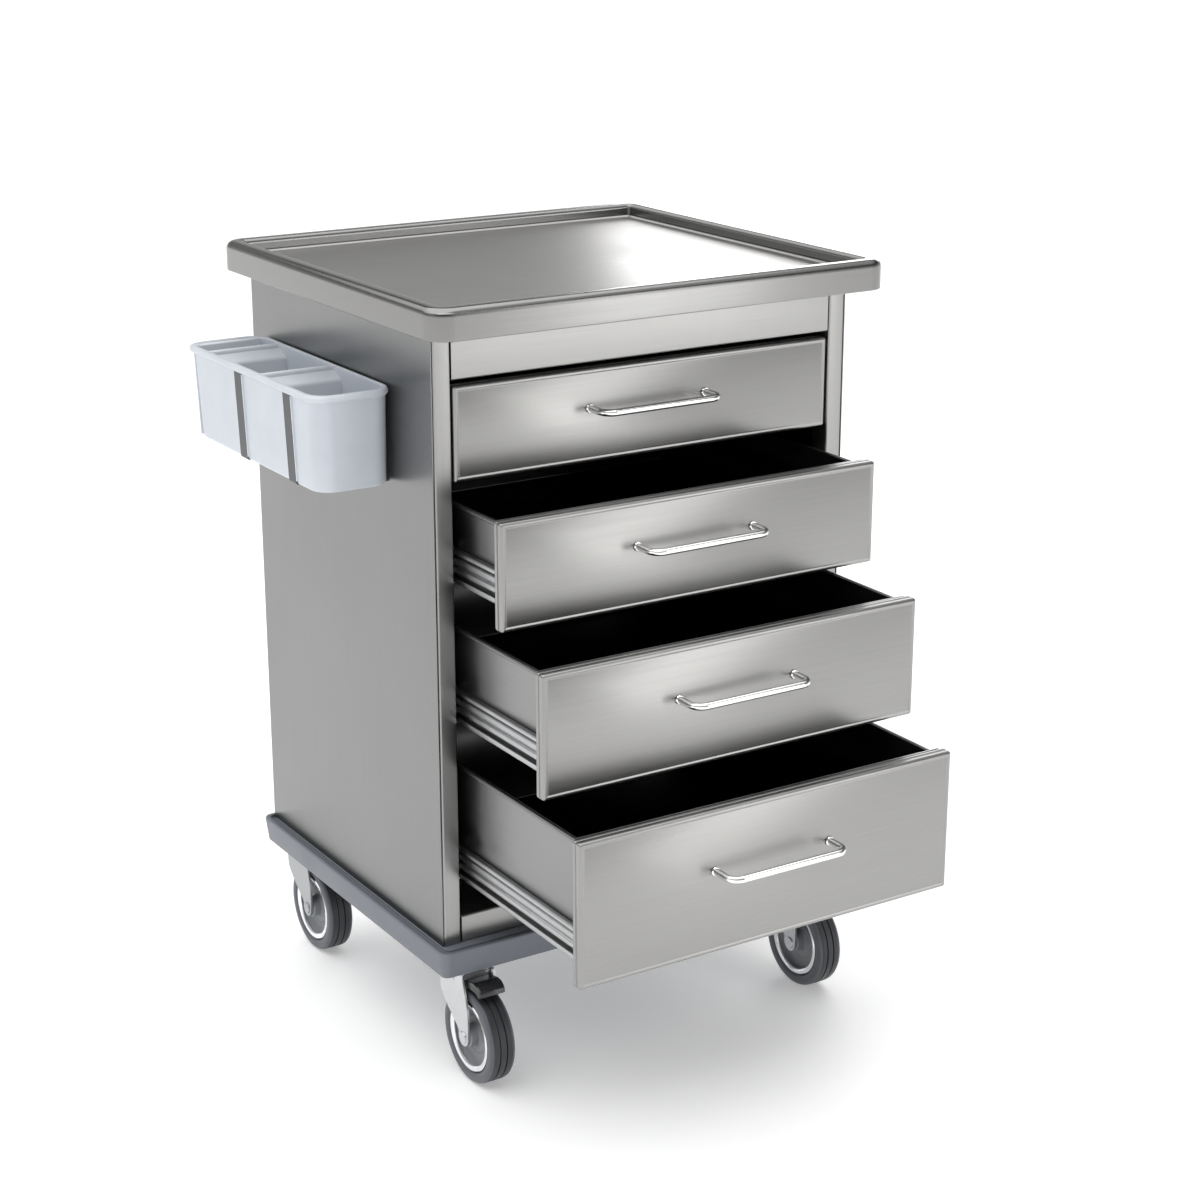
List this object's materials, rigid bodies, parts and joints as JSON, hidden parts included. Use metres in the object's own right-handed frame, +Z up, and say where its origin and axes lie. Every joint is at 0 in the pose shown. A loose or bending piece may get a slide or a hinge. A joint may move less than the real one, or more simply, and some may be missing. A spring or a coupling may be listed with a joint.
{
  "type": "medication cart",
  "caption": "Stainless hospital cart with full-width drawers on slides, a rimmed worktop, a divided side bin, a bumper deck and swivel casters.",
  "frame": {"origin": "on the floor, under the middle of the bounding box at rest", "axes": "+Z up, the drawers open towards -Y, the side bin is on the -X side"},
  "size_m": [0.736, 0.8514, 1],
  "materials": {
    "brushed_steel": "brushed stainless, fine straight grain",
    "polished_steel": "polished stainless bar",
    "zinc_steel": "satin zinc plated",
    "deck_plastic": "semi-matt moulded",
    "bin_plastic": "satin moulded",
    "tyre_rubber": "matt non-marking rubber",
    "hub_plastic": "satin moulded",
    "black_plastic": "gloss black"
  },
  "bodies": {
    "cabinet": {"base_deck": "deck_plastic", "bottom_panel": "brushed_steel", "back_panel": "brushed_steel", "top_panel": "brushed_steel", "fascia": "brushed_steel", "lower_rail": "brushed_steel", "side_panel_left": "brushed_steel", "side_panel_right": "brushed_steel", "front_post_left": "brushed_steel", "front_post_right": "brushed_steel", "worktop_tray": "brushed_steel", "worktop_floor": "brushed_steel", "bin": "bin_plastic", "bin_bracket": "zinc_steel", "caster_plate_front_left": "zinc_steel", "caster_plate_front_right": "zinc_steel", "caster_plate_rear_left": "zinc_steel", "caster_plate_rear_right": "zinc_steel", "cabinet_slide_1_left": "zinc_steel", "cabinet_slide_1_right": "zinc_steel", "cabinet_slide_2_left": "zinc_steel", "cabinet_slide_2_right": "zinc_steel", "cabinet_slide_3_left": "zinc_steel", "cabinet_slide_3_right": "zinc_steel", "cabinet_slide_4_left": "zinc_steel", "cabinet_slide_4_right": "zinc_steel"},
    "drawer_1": {"drawer_front_1": "brushed_steel", "drawer_box_1": "brushed_steel", "drawer_handle_1": "polished_steel", "drawer_slide_1_left": "zinc_steel", "drawer_slide_1_right": "zinc_steel"},
    "drawer_2": {"drawer_front_2": "brushed_steel", "drawer_box_2": "brushed_steel", "drawer_handle_2": "polished_steel", "drawer_slide_2_left": "zinc_steel", "drawer_slide_2_right": "zinc_steel"},
    "drawer_3": {"drawer_front_3": "brushed_steel", "drawer_box_3": "brushed_steel", "drawer_handle_3": "polished_steel", "drawer_slide_3_left": "zinc_steel", "drawer_slide_3_right": "zinc_steel"},
    "drawer_4": {"drawer_front_4": "brushed_steel", "drawer_box_4": "brushed_steel", "drawer_handle_4": "polished_steel", "drawer_slide_4_left": "zinc_steel", "drawer_slide_4_right": "zinc_steel"},
    "swivel_front_left": {"caster_fork_front_left": "zinc_steel"},
    "wheel_front_left": {"wheel_hub_front_left": "hub_plastic", "tyre_front_left": "tyre_rubber"},
    "pedal_front_left": {"brake_pedal_front_left": "black_plastic"},
    "swivel_front_right": {"caster_fork_front_right": "zinc_steel"},
    "wheel_front_right": {"wheel_hub_front_right": "hub_plastic", "tyre_front_right": "tyre_rubber"},
    "pedal_front_right": {"brake_pedal_front_right": "black_plastic"},
    "swivel_rear_left": {"caster_fork_rear_left": "zinc_steel"},
    "wheel_rear_left": {"wheel_hub_rear_left": "hub_plastic", "tyre_rear_left": "tyre_rubber"},
    "swivel_rear_right": {"caster_fork_rear_right": "zinc_steel"},
    "wheel_rear_right": {"wheel_hub_rear_right": "hub_plastic", "tyre_rear_right": "tyre_rubber"}
  },
  "joints": [
    {"name": "drawer_1_slide", "type": "slide", "parent": "cabinet", "child": "drawer_1", "axis": [0, -1, 0], "range_m": [0, 0.34]},
    {"name": "drawer_2_slide", "type": "slide", "parent": "cabinet", "child": "drawer_2", "axis": [0, -1, 0], "range_m": [-0.107, 0.233]},
    {"name": "drawer_3_slide", "type": "slide", "parent": "cabinet", "child": "drawer_3", "axis": [0, -1, 0], "range_m": [-0.198, 0.142]},
    {"name": "drawer_4_slide", "type": "slide", "parent": "cabinet", "child": "drawer_4", "axis": [0, -1, 0], "range_m": [-0.277, 0.063]},
    {"name": "swivel_front_left_turn", "type": "hinge", "parent": "cabinet", "child": "swivel_front_left", "pos_m": [-0.212, -0.08625, 0.15], "axis": [0, 0, 1], "continuous": true},
    {"name": "wheel_front_left_spin", "type": "hinge", "parent": "swivel_front_left", "child": "wheel_front_left", "pos_m": [-0.212, -0.11625, 0.0625], "axis": [1, 0, 0], "continuous": true},
    {"name": "brake_front_left_press", "type": "hinge", "parent": "swivel_front_left", "child": "pedal_front_left", "pos_m": [-0.212, -0.09225, 0.1345], "axis": [1, 0, 0], "range_deg": [0, 6]},
    {"name": "swivel_front_right_turn", "type": "hinge", "parent": "cabinet", "child": "swivel_front_right", "pos_m": [0.298, -0.08625, 0.15], "axis": [0, 0, 1], "continuous": true},
    {"name": "wheel_front_right_spin", "type": "hinge", "parent": "swivel_front_right", "child": "wheel_front_right", "pos_m": [0.298, -0.11625, 0.0625], "axis": [1, 0, 0], "continuous": true},
    {"name": "brake_front_right_press", "type": "hinge", "parent": "swivel_front_right", "child": "pedal_front_right", "pos_m": [0.298, -0.09225, 0.1345], "axis": [1, 0, 0], "range_deg": [0, 6]},
    {"name": "swivel_rear_left_turn", "type": "hinge", "parent": "cabinet", "child": "swivel_rear_left", "pos_m": [-0.212, 0.36575, 0.15], "axis": [0, 0, 1], "continuous": true},
    {"name": "wheel_rear_left_spin", "type": "hinge", "parent": "swivel_rear_left", "child": "wheel_rear_left", "pos_m": [-0.212, 0.33575, 0.0625], "axis": [1, 0, 0], "continuous": true},
    {"name": "swivel_rear_right_turn", "type": "hinge", "parent": "cabinet", "child": "swivel_rear_right", "pos_m": [0.298, 0.36575, 0.15], "axis": [0, 0, 1], "continuous": true},
    {"name": "wheel_rear_right_spin", "type": "hinge", "parent": "swivel_rear_right", "child": "wheel_rear_right", "pos_m": [0.298, 0.33575, 0.0625], "axis": [1, 0, 0], "continuous": true}
  ]
}
